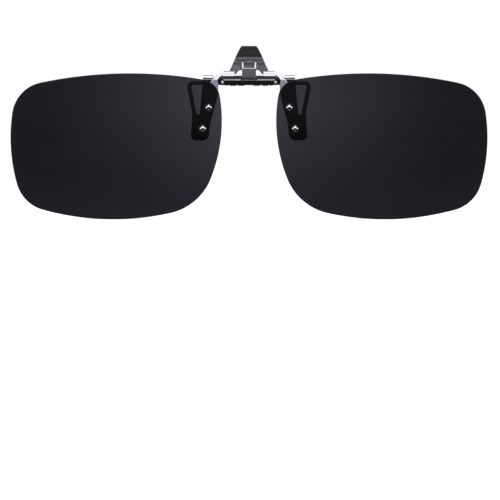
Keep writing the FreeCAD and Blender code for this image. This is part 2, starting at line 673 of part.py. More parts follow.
def main():
    os.makedirs("parts", exist_ok=True)
    save_pair("lens", lens())
    save_pair("lens_arm", lens_arm())
    save_pair("lens_rivets", lens_rivets())
    save_pair("lens_washers", lens_washers())
    save("bridge_rod", bridge_rod())
    save("base_plate", base_plate())
    save("hinge_barrels", hinge_barrels())
    save("bar_cover", bar_cover())
    save("front_tab", front_tab())
    save("friction_leaf", friction_leaf())
    save("cover_rivets", cover_rivets())
    save("jaw_pin", jaw_pin())
    save_pair("torsion_spring", torsion_spring())
    save_pair("front_pad", front_pad())
    save("release_lever", release_lever())
    save("lever_cap", lever_cap())
    save_pair("rear_claw", rear_claw())
    save_pair("rear_pad", rear_pad())


main()
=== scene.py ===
"""Clip on sunglasses: two smoke lenses on a flip-up spring clamp, standing on a white studio floor.

Metres. +X is the wearer's left, -Y is forward, +Z is up, and the origin is the grip point between the pads.
"""
import json
import math

import bmesh
import bpy
from mathutils import Matrix, Vector


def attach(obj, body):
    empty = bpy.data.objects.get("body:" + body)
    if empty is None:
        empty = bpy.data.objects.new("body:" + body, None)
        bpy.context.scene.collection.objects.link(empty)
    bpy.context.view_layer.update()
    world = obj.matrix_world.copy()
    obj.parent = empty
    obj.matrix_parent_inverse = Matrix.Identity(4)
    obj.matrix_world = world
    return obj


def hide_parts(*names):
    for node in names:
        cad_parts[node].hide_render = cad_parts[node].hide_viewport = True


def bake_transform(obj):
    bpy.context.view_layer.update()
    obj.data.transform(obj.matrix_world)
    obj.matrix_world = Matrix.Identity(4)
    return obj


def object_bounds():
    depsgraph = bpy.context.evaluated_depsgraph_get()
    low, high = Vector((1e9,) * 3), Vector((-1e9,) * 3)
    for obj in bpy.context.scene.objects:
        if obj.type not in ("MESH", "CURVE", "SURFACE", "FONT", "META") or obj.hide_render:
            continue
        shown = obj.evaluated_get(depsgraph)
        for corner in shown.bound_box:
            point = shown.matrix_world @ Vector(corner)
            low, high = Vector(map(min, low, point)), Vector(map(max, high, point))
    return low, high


MM = 0.001
SIDES = (("left", 1), ("right", -1))

# ---- bodies ----
BASE, JAW, FLIP = "clip_base", "rear_jaw", "lens_flip"

# ---- broken edges of the CAD pieces ----
MERGE_REACH = 1e-7                          # vertices this close are one
FLAT_ANGLE, CREASE_ANGLE = 0.4, 32.0        # degrees
BEVEL_STEPS = 2
FLAT_WEIGHT = 60                            # how strongly large faces hold the shading flat

# ---- lens outline and curve, as on the part (mm, about the grip point) ----
LENS_THICK = 1.1
LENS_RADIUS = 140.0
LENS_APEX = (16.0, 2.8)
LENS_BACK_Y = -4.58
# outermost point (x, z) and radius of the top, outer, bottom and inner sides, then the corner radii
LENS_SIDES = ((33.8, 15.35, 125.0), (67.6, -2.9, 48.5), (38.6, -25.85, 76.0), (7.65, 1.9, 43.6))
LENS_CORNERS = (10.2, 10.5, 16.0, 5.8)
LENS_EDGE_ROUND = 0.24
LENS_POINTS = 320
LENS_RINGS = 26
RING_CROWDING = 0.8                 # under 1, the rings lie closer together towards the edge
SIDE_STEPS, CORNER_STEPS = 200, 120
EDGE_ANGLES = (22.5, 45.0, 67.5, 90.0)

# ---- pads (mm): centre, half sizes, top and bottom, lean about Y in degrees ----
PAD_HIGH, PAD_LOW = 3.65, -3.65
FRONT_PAD = {"x": 13.147, "y": -1.18, "half": (2.1, 1.15), "lean": 6.0, "hole": (1.3, 0.38), "grip": 1}
REAR_PAD = {"x": 14.8, "y": 1.33, "half": (1.55, 1.3), "lean": 3.0, "hole": (0.6, 0.6), "grip": -1}
SLEEVE_SIDES = 56
SLEEVE_SQUARE, HOLE_SQUARE = 3.2, 2.6       # powers of the rounded oblongs: 2 is an ellipse
SLEEVE_STEP = 0.10                          # height between rings
PARTING_LINE, PARTING_REACH = 0.035, 0.06   # how far it stands proud, and how far round it spreads
RIB_TOP, RIB_BOTTOM = 2.7, -2.4
RIB_PITCH, RIB_DEPTH = 0.85, 0.075
WAIST, LIP, LIP_HEIGHT = 0.045, 0.05, 0.5
HOLE_RINGS = ((0.0, 0.7), (0.02, 0.1), (0.12, 0.02))    # how much wider, and how far below the top
LIP_TOP = (0.86, 0.82)                      # shares of the half sizes
NOSE_THIN, NOSE_POWER = 0.80, 2.6           # how much the nose thins, and how late
NOSE_GAP = 0.06                             # the even rings end this far above the bottom
TIP_HEIGHT, TIP_WIDTH_HEIGHT = 0.02, 0.03   # where the last ring lies, and where its width is taken
TIP_THICK = 0.36                            # its share of the half thickness

# ---- torsion springs (mm) ----
SPRING_X = (3.55, 5.55)
SPRING_WIRE_R = 0.225
SPRING_COIL_R = 0.895
SPRING_TURNS = 3.5
COIL_STEPS = 40                     # points in one turn
LEG_STEPS = 6                       # points between two knots of a leg
TUBE_SIDES = 14
TUBE_END = ((0.35, 0.55), (0.15, 0.88))     # how far past the end and how wide, in radii
# knots of the legs: x from the end of the coil, y and z from the pin
FRONT_LEG = ((0.0, -1.105, 1.05), (0.0, -1.105, 0.62), (0.0, -0.99, 0.3), (0.0, -0.9, 0.02))
REAR_LEG = ((0.0, 0.9, 0.02), (0.0, 0.84, 0.6), (0.1, 0.66, 1.6), (0.3, 0.6, 2.4), (0.45, 0.669, 3.2))

# ---- camera ----
CAMERA_DISTANCE = 1.38
CAMERA_X = 0.00028
CAMERA_Z = -0.0013
CAMERA_LENS = 351.6
CAMERA_SENSOR = 36.0
CAMERA_CLIP = (0.05, 50.0)
FRAME_DROP = 0.03322                # how far below the object's middle the picture's centre lies

# ---- studio ----
FLOOR_REACH, FLOOR_GAP = 8.0, 0.00002
FLOOR_PAINT, FLOOR_GLOW = (0.9, 0.9, 0.9, 1.0), 0.56
MIDDLE = (0.0, 0.0, 0.0)
OVERHEAD = {"place": (0.0, -0.20, 0.75), "target": MIDDLE, "size": (0.9, 0.55), "power": 2.3}
GLINT_DISTANCE = 0.5
# name, both ends as azimuth and elevation in degrees, thickness (m) and radiance
GLINTS = (
    ("glint_left", (0.0, 40.0), (68.0, -2.0), 0.13, 110.0),
    ("glint_right", (0.0, 40.0), (-68.0, -2.0), 0.13, 110.0),
    ("glint_middle", (0.0, 74.0), (0.0, 22.0), 0.13, 110.0),
    ("glint_below", (-8.0, -46.0), (8.0, -46.0), 0.10, 42.0),
)
PAINTED_OUTLINE_TONE = (0.03, 0.03, 0.04, 1.0)   # painted shade: the dark tone bright metal is painted where it turns away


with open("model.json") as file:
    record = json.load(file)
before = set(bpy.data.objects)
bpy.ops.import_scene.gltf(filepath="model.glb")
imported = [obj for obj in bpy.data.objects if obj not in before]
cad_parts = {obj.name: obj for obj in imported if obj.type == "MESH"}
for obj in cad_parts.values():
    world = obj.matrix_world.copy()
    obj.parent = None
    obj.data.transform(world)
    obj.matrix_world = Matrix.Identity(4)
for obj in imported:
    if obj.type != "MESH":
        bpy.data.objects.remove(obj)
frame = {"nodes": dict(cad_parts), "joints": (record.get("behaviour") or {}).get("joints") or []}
NODES = frame["nodes"]
bpy.context.view_layer.update()
CAD_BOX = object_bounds()


# ------------------------------------------------------------------ node helpers

class Tree:
    """A small wrapper that adds nodes and links to a material or world."""

    def __init__(self, owner):
        owner.use_nodes = True
        self.tree = owner.node_tree
        self.tree.nodes.clear()

    def add(self, kind, inputs=None, **settings):
        node = self.tree.nodes.new(kind)
        for key, value in settings.items():
            setattr(node, key, value)
        for key, value in (inputs or {}).items():
            self.feed(node.inputs[key], value)
        return node

    def feed(self, socket, value):
        if isinstance(value, bpy.types.NodeSocket):
            self.tree.links.new(value, socket)
        else:
            socket.default_value = value

    def math(self, operation, a, b=0.0, clamp=False):
        node = self.add("ShaderNodeMath", {0: a, 1: b}, operation=operation, use_clamp=clamp)
        return node.outputs[0]

    def position(self, scale=(1.0, 1.0, 1.0)):
        """Object-space position in millimetres, stretched by scale."""
        where = self.add("ShaderNodeTexCoord").outputs["Object"]
        sized = [value / MM for value in scale]
        return self.add("ShaderNodeMapping", {"Vector": where, "Scale": sized}).outputs["Vector"]

    def normal_part(self, axis):
        """One part of the surface's direction, in the piece's own frame."""
        facing = self.add("ShaderNodeTexCoord").outputs["Normal"]
        return self.add("ShaderNodeSeparateXYZ", {0: facing}).outputs[axis]

    def noise(self, scale, detail=3.0, rough=0.55, stretch=(1.0, 1.0, 1.0), warp=0.0):
        inputs = {
            "Vector": self.position(stretch),
            "Scale": scale,
            "Detail": detail,
            "Roughness": rough,
            "Distortion": warp,
        }
        return self.add("ShaderNodeTexNoise", inputs).outputs["Fac"]

    def spread(self, value, low, high, from_low=0.3, from_high=0.7):
        """Map a value onto a range; the default ends suit a noise."""
        inputs = {"Value": value, "From Min": from_low, "From Max": from_high, "To Min": low, "To Max": high}
        return self.add("ShaderNodeMapRange", inputs).outputs["Result"]

    def colours(self, value, *stops):
        """A colour ramp through (place, colour) stops."""
        node = self.add("ShaderNodeValToRGB", {"Fac": value})
        ramp = node.color_ramp
        while len(ramp.elements) < len(stops):
            ramp.elements.new(0.5)
        for element, (place, colour) in zip(ramp.elements, stops):
            element.position = place
            element.color = (*colour, 1.0)
        return node.outputs["Color"]

    def with_painted_outline(self, colour, start, end):
        """The colour, with a painted dark outline where the surface turns away from the eye."""
        turned = self.add("ShaderNodeLayerWeight", {"Blend": 0.5}).outputs["Facing"]
        inputs = {"Factor": self.spread(turned, 0.0, 0.9, start, end), "A": colour, "B": PAINTED_OUTLINE_TONE}
        return self.add("ShaderNodeMix", inputs, data_type="RGBA").outputs["Result"]

    def bump(self, height, distance_mm, strength=1.0):
        inputs = {"Height": height, "Distance": distance_mm * MM, "Strength": strength}
        return self.add("ShaderNodeBump", inputs).outputs["Normal"]

    def principled(self, inputs):
        return self.add("ShaderNodeBsdfPrincipled", inputs).outputs["BSDF"]

    def finish(self, shader, world=False):
        kind = "ShaderNodeOutputWorld" if world else "ShaderNodeOutputMaterial"
        self.add(kind, {"Surface": shader})


def new_material(name):
    material = bpy.data.materials.new(name)
    return material, Tree(material)


# ------------------------------------------------------------------ materials

def smoke_lens():
    """Grey polarised sheet with painted light: its see-through tint is made lighter towards the top and near
    the bridge, most on the -X side, as a painted reflection of a soft light; a glossy layer adds a faint real
    sheen at grazing angles and a painted reflection that rises towards the top.
    """
    material, t = new_material("smoke_lens_look")
    x, _, z = t.add("ShaderNodeSeparateXYZ", {0: t.position()}).outputs
    # painted light: the tint is lighter near the bridge, towards the top and on the -X side, standing in for
    # the reflection of a soft light
    painted_light_inward = t.math("POWER", t.spread(t.math("ABSOLUTE", x), 1.0, 0.0, 9.0, 58.0), 1.6)
    painted_light_upward = t.spread(z, 0.0, 1.0, -21.0, 6.0)
    floor_share = t.spread(painted_light_upward, 0.0110, 0.0085, 0.0, 1.0)
    painted_light_gain = t.math("MULTIPLY", t.spread(painted_light_upward, 0.0050, 0.0330, 0.0, 1.0), t.spread(x, 1.0, 0.84, -8.0, 8.0))
    cloud = t.spread(t.noise(0.05, 2.0), 0.95, 1.05)
    passed = t.math("MULTIPLY", t.math("ADD", floor_share, t.math("MULTIPLY", painted_light_gain, painted_light_inward)), cloud)
    one_sheet = t.math("POWER", passed, 0.5)
    shade = {0: (0.99, 0.962, 1.10), "Scale": one_sheet}
    tint = t.add("ShaderNodeVectorMath", shade, operation="SCALE").outputs[0]
    sheet = t.add("ShaderNodeBsdfTransparent", {"Color": tint}).outputs[0]
    smear = t.spread(t.noise(0.12, 5.0, stretch=(1.0, 1.0, 0.35), warp=0.6), 0.02, 0.05)
    gloss = t.add("ShaderNodeBsdfGlossy", {"Color": (0.93, 0.95, 1.0, 1.0), "Roughness": smear}).outputs[0]
    grazing = t.math("POWER", t.add("ShaderNodeLayerWeight", {"Blend": 0.5}).outputs["Facing"], 4.5)
    # painted reflection: the glossy layer's share rises towards the top
    painted_top_reflection = t.spread(z, 0.0015, 0.0065, -13.0, 6.0)
    fresnel_and_painted_reflection = t.math("ADD", t.math("MULTIPLY", grazing, 0.75), painted_top_reflection, clamp=True)
    t.finish(t.add("ShaderNodeMixShader", {0: fresnel_and_painted_reflection, 1: sheet, 2: gloss}).outputs[0])
    return material


def lens_rim():
    """The lens's ground edge: dark, finely polished, a little see-through."""
    material, t = new_material("lens_rim_look")
    grain = t.noise(9.0, 4.0, stretch=(1.0, 0.25, 1.0))
    body = t.principled({
        "Base Color": (0.012, 0.012, 0.015, 1.0),
        "Roughness": t.spread(grain, 0.16, 0.34),
        "Specular IOR Level": 0.35,
        "Normal": t.bump(grain, 0.006),
    })
    clear = t.add("ShaderNodeBsdfTransparent", {"Color": (0.10, 0.10, 0.12, 1.0)}).outputs[0]
    t.finish(t.add("ShaderNodeMixShader", {0: 0.7, 1: clear, 2: body}).outputs[0])
    return material


def polished_steel():
    """Bright hinge barrels: a fine polish, hair scratches, faint tarnish, and a painted dark outline where
    they turn away.
    """
    material, t = new_material("polished_steel_look")
    cloud = t.noise(0.9, 4.0)
    polish = t.noise(26.0, 3.0, stretch=(0.12, 1.0, 1.0))
    scratch = t.noise(60.0, 2.0, stretch=(1.0, 0.05, 0.08), warp=1.5)
    hair = t.spread(scratch, 0.0, 1.0, 0.68, 0.74)
    colour = t.colours(t.spread(cloud, 0.0, 1.0), (0.0, (0.86, 0.86, 0.85)), (1.0, (0.94, 0.94, 0.92)))
    rough = t.math("ADD", t.spread(polish, 0.06, 0.12), t.math("MULTIPLY", hair, 0.12))
    t.finish(t.principled({
        # painted shade: a dark outline where the barrel turns away
        "Base Color": t.with_painted_outline(colour, 0.15, 0.30),
        "Metallic": 1.0,
        "Roughness": rough,
        "Normal": t.bump(t.math("SUBTRACT", polish, hair), 0.0008),
    }))
    return material


def satin_steel():
    """The bridge and lens arms: satin steel with painted light, brighter near the hinge and where it faces
    up, darker where it faces down, and a painted dark outline where it turns away.
    """
    material, t = new_material("satin_steel_look")
    cloud = t.noise(0.9, 4.0)
    grain = t.noise(24.0, 3.0, stretch=(1.0, 0.2, 0.35))
    height = t.add("ShaderNodeSeparateXYZ", {0: t.position()}).outputs[2]
    # painted light: brighter where the surface faces up and near the hinge, darker where it faces down; the
    # cloud adds random tone
    facing = t.math("ADD", t.normal_part(2), t.spread(height, 0.0, 0.4, 13.3, 14.5))
    painted_light_and_tone = t.math("ADD", facing, t.math("MULTIPLY", t.math("SUBTRACT", cloud, 0.5), 0.12))
    colour = t.colours(
        t.spread(painted_light_and_tone, 0.0, 1.0, -0.5, 0.5),
        (0.0, (0.05, 0.05, 0.06)), (0.40, (0.18, 0.18, 0.215)),
        (0.54, (0.28, 0.28, 0.33)), (0.64, (0.93, 0.93, 0.96)),
    )
    t.finish(t.principled({
        "Base Color": t.with_painted_outline(colour, 0.20, 0.38),
        "Metallic": 1.0,
        "Roughness": t.spread(grain, 0.16, 0.27),
        "Normal": t.bump(grain, 0.0010),
    }))
    return material


def spring_steel():
    """Drawn steel wire and pins: greyer, with lines along the drawing direction."""
    material, t = new_material("spring_steel_look")
    lines = t.noise(18.0, 3.0, stretch=(0.2, 1.0, 1.0))
    spots = t.noise(2.5, 4.0)
    colour = t.colours(t.spread(spots, 0.0, 1.0), (0.0, (0.42, 0.42, 0.45)), (1.0, (0.60, 0.60, 0.63)))
    t.finish(t.principled({
        "Base Color": colour,
        "Metallic": 1.0,
        "Roughness": t.spread(lines, 0.2, 0.34),
        "Normal": t.bump(lines, 0.002),
    }))
    return material


def gunmetal(name, shade):
    """Dark plated steel of the lever and the tab: brushed crosswise, rubbed brighter along its edges."""
    material, t = new_material(name + "_look")
    brushed = t.noise(30.0, 3.0, stretch=(0.05, 1.0, 1.0))
    cloud = t.noise(1.1, 4.0)
    low, high = (0.89 * shade, 0.86 * shade, 0.92 * shade), (1.05 * shade, 1.01 * shade, 1.08 * shade)
    plate = t.colours(t.spread(cloud, 0.0, 1.0), (0.0, low), (1.0, high))
    edge = t.add("ShaderNodeNewGeometry").outputs["Pointiness"]
    edge_rub_and_painted_highlight = t.math("MULTIPLY", t.spread(edge, 0.0, 0.6, 0.53, 0.64), t.spread(t.noise(3.0, 4.0), 0.2, 1.0))
    wear_and_painted_sheen = t.add(
        "ShaderNodeMix",
        {"Factor": edge_rub_and_painted_highlight, "A": plate, "B": (0.26, 0.25, 0.27, 1.0)},
        data_type="RGBA",
    ).outputs["Result"]
    t.finish(t.principled({
        "Base Color": wear_and_painted_sheen,
        "Metallic": 0.92,
        "Roughness": t.spread(brushed, 0.34, 0.44),
        "Normal": t.bump(brushed, 0.0012),
    }))
    return material


def black_enamel():
    """Gloss black stoved enamel, with a painted highlight of bright metal on upward slopes and a painted
    sheen that makes it paler above the cover's ledge.
    """
    material, t = new_material("black_enamel_look")
    peel = t.noise(1.8, 2.0)
    marks = t.spread(t.noise(40.0, 2.0, stretch=(0.08, 1.0, 1.0), warp=0.8), 0.0, 1.0, 0.62, 0.72)
    # painted highlight: upward slopes, such as the ledge, are painted as bright metal
    sloping = t.spread(t.normal_part(2), 0.0, 1.0, 0.35, 0.6)
    edge_rub_and_painted_highlight = t.math("MULTIPLY", sloping, t.spread(t.noise(2.2, 4.0), 0.75, 1.0))
    height = t.add("ShaderNodeSeparateXYZ", {0: t.position()}).outputs[2]
    # painted sheen: paler above the cover's ledge
    dust_and_painted_sheen = t.math("MULTIPLY", t.spread(height, 0.0, 0.12, 13.6, 13.8), t.spread(t.noise(3.5, 5.0), 0.5, 1.0))
    wear_and_painted_sheen = t.math("MAXIMUM", edge_rub_and_painted_highlight, dust_and_painted_sheen)
    colour = t.colours(wear_and_painted_sheen, (0.0, (0.0016, 0.0016, 0.0019)), (1.0, (0.270, 0.264, 0.264)))
    t.finish(t.principled({
        "Base Color": colour,
        "Metallic": edge_rub_and_painted_highlight,
        "Roughness": t.math("ADD", t.spread(peel, 0.14, 0.21), t.math("MULTIPLY", marks, 0.16)),
        "Specular IOR Level": 0.10,
        "Normal": t.bump(peel, 0.010),
    }))
    return material


def black_rivet():
    """Gloss black domed rivets."""
    material, t = new_material("black_rivet_look")
    peel = t.noise(3.2, 2.0)
    t.finish(t.principled({
        "Base Color": (0.0010, 0.0010, 0.0012, 1.0),
        "Roughness": t.spread(peel, 0.05, 0.09),
        "Specular IOR Level": 0.12,
        "Normal": t.bump(peel, 0.008),
    }))
    return material


def satin_black():
    """The lever's moulded cap: satin black plastic with a fine grain, and a painted highlight that makes it
    paler where it faces up.
    """
    material, t = new_material("satin_black_look")
    grain = t.noise(11.0, 4.0, 0.65)
    cloud = t.noise(0.8, 3.0)
    # painted highlight: paler where the cap faces up
    wear_and_painted_sheen = t.spread(t.normal_part(2), 0.0, 0.85, 0.25, 0.75)
    tone_and_painted_sheen = t.math("ADD", t.spread(cloud, 0.0, 0.03), wear_and_painted_sheen, clamp=True)
    colour = t.colours(tone_and_painted_sheen, (0.0, (0.0080, 0.0083, 0.0100)), (1.0, (0.30, 0.30, 0.325)))
    t.finish(t.principled({
        "Base Color": colour,
        "Roughness": t.spread(grain, 0.34, 0.46),
        "Specular IOR Level": 0.22,
        "Normal": t.bump(grain, 0.012, 0.7),
    }))
    return material


def black_wire():
    """Dark nickel-plated spring wire with faint drawing lines and worn high spots."""
    material, t = new_material("black_wire_look")
    lines = t.noise(16.0, 3.0, stretch=(0.3, 1.0, 1.0))
    wear_and_painted_sheen = t.spread(t.noise(1.6, 5.0), 0.0, 1.0, 0.58, 0.74)
    colour = t.colours(wear_and_painted_sheen, (0.0, (0.15, 0.145, 0.155)), (1.0, (0.28, 0.27, 0.29)))
    t.finish(t.principled({
        "Base Color": colour,
        "Metallic": 0.6,
        "Roughness": t.spread(lines, 0.26, 0.40),
        "Normal": t.bump(lines, 0.003),
    }))
    return material


def rubber():
    """Matt black silicone with a fine skin and a little pale dust in its hollows."""
    material, t = new_material("rubber_look")
    skin = t.noise(14.0, 5.0, 0.7)
    dust_and_painted_sheen = t.spread(t.noise(1.3, 6.0, 0.7), 0.0, 1.0, 0.55, 0.8)
    colour = t.colours(dust_and_painted_sheen, (0.0, (0.0050, 0.0050, 0.0053)), (1.0, (0.014, 0.0135, 0.0135)))
    t.finish(t.principled({
        "Base Color": colour,
        "Roughness": t.spread(skin, 0.62, 0.82),
        "Specular IOR Level": 0.20,
        "Sheen Weight": 0.04,
        "Sheen Roughness": 0.5,
        "Normal": t.bump(skin, 0.010, 0.8),
    }))
    return material


def clear_washer():
    """Clear nylon washers behind the lens."""
    material, t = new_material("clear_washer_look")
    milk = t.noise(4.0, 3.0)
    body = t.principled({
        "Base Color": (0.72, 0.74, 0.76, 1.0),
        "Roughness": t.spread(milk, 0.2, 0.35),
        "Specular IOR Level": 0.5,
        "Normal": t.bump(milk, 0.004),
    })
    clear = t.add("ShaderNodeBsdfTransparent", {"Color": (0.9, 0.92, 0.94, 1.0)}).outputs[0]
    t.finish(t.add("ShaderNodeMixShader", {0: t.spread(milk, 0.25, 0.4), 1: clear, 2: body}).outputs[0])
    return material


def studio_white():
    """The white floor, lit until its shadows nearly wash out."""
    material, t = new_material("studio_floor_look")
    grain = t.noise(0.02, 3.0)
    paint = t.add("ShaderNodeBsdfDiffuse", {"Color": FLOOR_PAINT, "Normal": t.bump(grain, 0.02)})
    glow = t.add("ShaderNodeEmission", {"Color": (1.0, 1.0, 1.0, 1.0), "Strength": FLOOR_GLOW})
    t.finish(t.add("ShaderNodeAddShader", {0: paint.outputs[0], 1: glow.outputs[0]}).outputs[0])
    return material


# ------------------------------------------------------------------ mesh helpers

def link_mesh(name, bm, materials, body=None):
    mesh = bpy.data.meshes.new(name)
    bm.to_mesh(mesh)
    bm.free()
    for material in materials:
        mesh.materials.append(material)
    piece = bpy.data.objects.new(name, mesh)
    bpy.context.scene.collection.objects.link(piece)
    if body is not None:
        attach(piece, body)
    return piece


def finished(node, body, material, edge_mm):
    """A copy of a CAD piece with its sharp edges broken by a small round."""
    bm = bmesh.new()
    bm.from_mesh(NODES[node].data)
    bmesh.ops.remove_doubles(bm, verts=bm.verts, dist=MERGE_REACH)
    flat = math.radians(FLAT_ANGLE)
    bmesh.ops.dissolve_limit(
        bm, angle_limit=flat, verts=bm.verts, edges=bm.edges, use_dissolve_boundaries=False,
    )
    for face in bm.faces:
        face.smooth = True
    piece = link_mesh(node + "_piece", bm, [material], body)
    crease = math.radians(CREASE_ANGLE)
    piece.data.set_sharp_from_angle(angle=crease)
    bevel = piece.modifiers.new("edge_round", "BEVEL")
    bevel.width = edge_mm * MM
    bevel.segments = BEVEL_STEPS
    bevel.limit_method = "ANGLE"
    bevel.angle_limit = crease
    bevel.harden_normals = True
    bevel.use_clamp_overlap = True
    flatten = piece.modifiers.new("flat_faces", "WEIGHTED_NORMAL")
    flatten.keep_sharp = True
    flatten.weight = FLAT_WEIGHT
    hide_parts(node)


def bridge_rings(bm, rings, material_index=0):
    """Quads between neighbouring rings of vertices."""
    for low, high in zip(rings, rings[1:]):
        count = len(low)
        for i in range(count):
            j = (i + 1) % count
            face = bm.faces.new((low[i], low[j], high[j], high[i]))
            face.material_index = material_index
            face.smooth = True


# ------------------------------------------------------------------ lenses

def circle_crossing(centre_a, radius_a, centre_b, radius_b, near):
    """Where two circles cross, at the crossing nearer to a point."""
    gap = centre_b - centre_a
    along = (radius_a ** 2 - radius_b ** 2 + gap.length ** 2) / (2 * gap.length)
    across = math.sqrt(max(radius_a ** 2 - along ** 2, 0.0))
    unit = gap.normalized()
    side = Vector((-unit.y, unit.x))
    choices = (centre_a + unit * along + side * across, centre_a + unit * along - side * across)
    return min(choices, key=lambda point: (point - near).length)


def arc_points(centre, radius, start, end, count):
    """Points on the shorter arc from start to end, without the end."""
    first = math.atan2(start.y - centre.y, start.x - centre.x)
    last = math.atan2(end.y - centre.y, end.x - centre.x)
    turn = (last - first + math.pi) % (2 * math.pi) - math.pi
    angles = [first + turn * k / count for k in range(count)]
    return [centre + Vector((math.cos(a), math.sin(a))) * radius for a in angles]


def lens_outline():
    """The +X lens's outline in (x, z), evenly spaced: four long arcs and four corner arcs."""
    top, outer, bottom, inner = LENS_SIDES
    circles = [
        (Vector((top[0], top[1] - top[2])), top[2]),
        (Vector((outer[0] - outer[2], outer[1])), outer[2]),
        (Vector((bottom[0], bottom[1] + bottom[2])), bottom[2]),
        (Vector((inner[0] + inner[2], inner[1])), inner[2]),
    ]
    near = [
        Vector((outer[0], top[1])), Vector((outer[0], bottom[1])),
        Vector((inner[0], bottom[1])), Vector((inner[0], top[1])),
    ]
    corners = []
    for index, radius in enumerate(LENS_CORNERS):
        centre_a, radius_a = circles[index]
        centre_b, radius_b = circles[(index + 1) % 4]
        centre = circle_crossing(centre_a, radius_a - radius, centre_b, radius_b - radius, near[index])
        start = centre_a + (centre - centre_a).normalized() * radius_a
        end = centre_b + (centre - centre_b).normalized() * radius_b
        corners.append((centre, radius, start, end))
    dense = []
    for index, (centre, radius, start, end) in enumerate(corners):
        side_centre, side_radius = circles[index]
        dense += arc_points(side_centre, side_radius, corners[index - 1][3], start, SIDE_STEPS)
        dense += arc_points(centre, radius, start, end, CORNER_STEPS)
    return evenly(dense, LENS_POINTS)


def evenly(points, count):
    """The closed polyline resampled at equal steps."""
    steps = [(b - a).length for a, b in zip(points, points[1:] + points[:1])]
    total = sum(steps)
    result = []
    index, passed = 0, 0.0
    for k in range(count):
        target = total * k / count
        while passed + steps[index] < target:
            passed += steps[index]
            index += 1
        share = (target - passed) / steps[index]
        result.append(points[index].lerp(points[(index + 1) % len(points)], share))
    return result


def outline_normals(points):
    """Unit vectors that point out of the outline."""
    count = len(points)
    middle = sum(points, Vector((0.0, 0.0))) / count
    result = []
    for i, point in enumerate(points):
        along = (points[(i + 1) % count] - points[i - 1]).normalized()
        out = Vector((along.y, -along.x))
        result.append(out if out.dot(point - middle) > 0 else -out)
    return result


def shell_y(x, z, depth):
    """y of the lens at a depth in front of its back face."""
    radius = LENS_RADIUS + depth
    off = (x - LENS_APEX[0]) ** 2 + (z - LENS_APEX[1]) ** 2
    return LENS_BACK_Y + LENS_RADIUS - math.sqrt(radius ** 2 - off)


def lens_piece(side, sign, sheet, rim):
    """A curved sheet with a rounded, polished edge all round."""
    outline = lens_outline()
    normals = outline_normals(outline)
    middle = sum(outline, Vector((0.0, 0.0))) / len(outline)
    bm = bmesh.new()

    def vertex(point, depth):
        return bm.verts.new((sign * point.x * MM, shell_y(point.x, point.y, depth) * MM, point.y * MM))

    def face_rings(depth):
        inset = [p - n * LENS_EDGE_ROUND for p, n in zip(outline, normals)]
        rings = []
        for k in range(1, LENS_RINGS + 1):
            share = (k / LENS_RINGS) ** RING_CROWDING
            rings.append([vertex(middle.lerp(p, share), depth) for p in inset])
        hub = vertex(middle, depth)
        first = rings[0]
        for i in range(len(first)):
            face = bm.faces.new((hub, first[i], first[(i + 1) % len(first)]))
            face.smooth = True
        bridge_rings(bm, rings)
        return rings[-1]

    front = face_rings(LENS_THICK)
    back = face_rings(0.0)

    def edge_ring(angle, from_front):
        """One ring of the rounded edge, an angle away from the front or back face."""
        out, drop = math.sin(angle) - 1, 1 - math.cos(angle)
        depth = LENS_THICK - LENS_EDGE_ROUND * drop if from_front else LENS_EDGE_ROUND * drop
        return [vertex(p + n * LENS_EDGE_ROUND * out, depth) for p, n in zip(outline, normals)]

    quarter = [math.radians(a) for a in EDGE_ANGLES]
    edge = [front]
    edge += [edge_ring(a, True) for a in quarter]
    edge += [edge_ring(a, False) for a in reversed(quarter)]
    edge.append(back)
    bridge_rings(bm, edge, material_index=1)
    bmesh.ops.recalc_face_normals(bm, faces=bm.faces)
    piece = link_mesh("lens_sheet_" + side, bm, [sheet, rim], FLIP)
    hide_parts("lens_" + side)


# ------------------------------------------------------------------ pads

def sleeve_width(z, half_x):
    """Half width of a pad at a height: a slight waist, a lip at the top and a round nose."""
    nose_centre = PAD_LOW + half_x
    if z < nose_centre:
        return math.sqrt(max(half_x ** 2 - (nose_centre - z) ** 2, 0.0))
    waist = WAIST * math.sin(math.pi * (z - nose_centre) / (PAD_HIGH - nose_centre))
    lip = LIP * max(0.0, 1 - (PAD_HIGH - z) / LIP_HEIGHT)
    return half_x * (1 - waist - lip)


def sleeve_ring(bm, place, half_x, half_y, z, dip=0.0, power=SLEEVE_SQUARE):
    """One ring of a sleeve: a rounded oblong; dip presses its grip side in."""
    ring = []
    for i in range(SLEEVE_SIDES):
        a = 2 * math.pi * i / SLEEVE_SIDES
        c, s = math.cos(a), math.sin(a)
        x = half_x * math.copysign(abs(c) ** (2 / power), c)
        y = half_y * math.copysign(abs(s) ** (2 / power), s)
        if dip and y * place["grip"] > 0:
            y -= place["grip"] * dip * abs(s) ** 0.5
        line = PARTING_LINE * half_x / place["half"][0] if abs(s) < PARTING_REACH else 0.0
        x += math.copysign(line, c) - math.copysign(PARTING_LINE, c)
        ring.append(bm.verts.new((x * MM, y * MM, z * MM)))
    return ring


def rib_dip(z):
    """How far the grip face lies back at a height, between its ribs."""
    if not RIB_BOTTOM < z < RIB_TOP:
        return 0.0
    return RIB_DEPTH * (0.5 - 0.5 * math.cos(2 * math.pi * (z - RIB_TOP) / RIB_PITCH))


